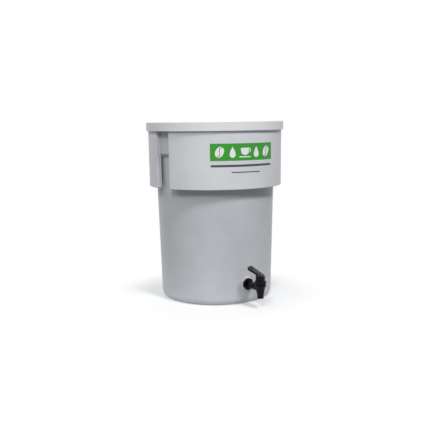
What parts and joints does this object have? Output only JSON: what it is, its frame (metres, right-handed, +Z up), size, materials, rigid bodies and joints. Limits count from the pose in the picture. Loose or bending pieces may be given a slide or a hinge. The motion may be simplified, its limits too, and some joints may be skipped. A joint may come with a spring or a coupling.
{
  "type": "cold brew coffee maker",
  "caption": "White plastic brewing tub with a grip skirt, a loose lid, a strainer bag with a paper filter inside and a black self-closing faucet near the foot.",
  "frame": {"origin": "centre of the tub's flat foot, on the tub's axis", "axes": "+Z up, the faucet points along -Y, +X to the right when facing the faucet"},
  "size_m": [0.3298, 0.3663, 0.422],
  "materials": {
    "hdpe_white": "injection moulded HDPE, satin",
    "lid_white": "injection moulded HDPE, satin",
    "stainless": "drawn stainless wire",
    "nylon_mesh": "woven nylon mesh",
    "filter_paper": "creped filter paper",
    "silicone_white": "moulded white silicone",
    "nylon_white": "moulded nylon",
    "acetal_black": "moulded black acetal",
    "silicone_clear": "moulded translucent silicone",
    "stem_white": "moulded acetal",
    "lever_black": "moulded black acetal"
  },
  "bodies": {
    "tub": {"container": "hdpe_white", "tub_shoulder": "hdpe_white", "tub_neck": "hdpe_white", "tub_rim": "hdpe_white", "skirt_front": "hdpe_white", "skirt_back": "hdpe_white", "skirt_ribs": "hdpe_white", "strainer_hoop": "stainless", "strainer_hem": "nylon_mesh", "strainer_bag": "nylon_mesh", "strainer_base": "nylon_mesh", "filter_bag": "filter_paper", "outer_washer": "silicone_white", "inner_washer": "silicone_white", "lock_nut": "nylon_white", "faucet_body": "acetal_black", "bonnet": "acetal_black", "seat_cup": "silicone_clear"},
    "lid": {"lid": "lid_white"},
    "spring": {"closing_spring": "stainless"},
    "stem": {"stem": "stem_white", "lever_pin": "stainless"},
    "lever": {"lever": "lever_black"}
  },
  "joints": [
    {"name": "lid_lift", "type": "slide", "parent": "tub", "child": "lid", "axis": [0, 0, 1], "range_m": [0, 0.2]},
    {"name": "lever_swivel", "type": "hinge", "parent": "tub", "child": "spring", "pos_m": [0, -0.188, 0.06], "axis": [0, 0, 1], "continuous": true},
    {"name": "stem_lift", "type": "slide", "parent": "spring", "child": "stem", "axis": [0, 0, 1], "range_m": [0, 0.00345], "stiffness_N_per_m": 1200, "springref_m": -0.005, "deforming": ["closing_spring", "seat_cup"]},
    {"name": "lever_tilt", "type": "hinge", "parent": "stem", "child": "lever", "pos_m": [0, -0.188, 0.0781], "axis": [-0.8462, -0.5329, 0], "range_deg": [0, 26]}
  ],
  "couplings": [
    {"joint": "stem_lift", "follows": "lever_tilt", "m_per_rad": 0.0075}
  ]
}
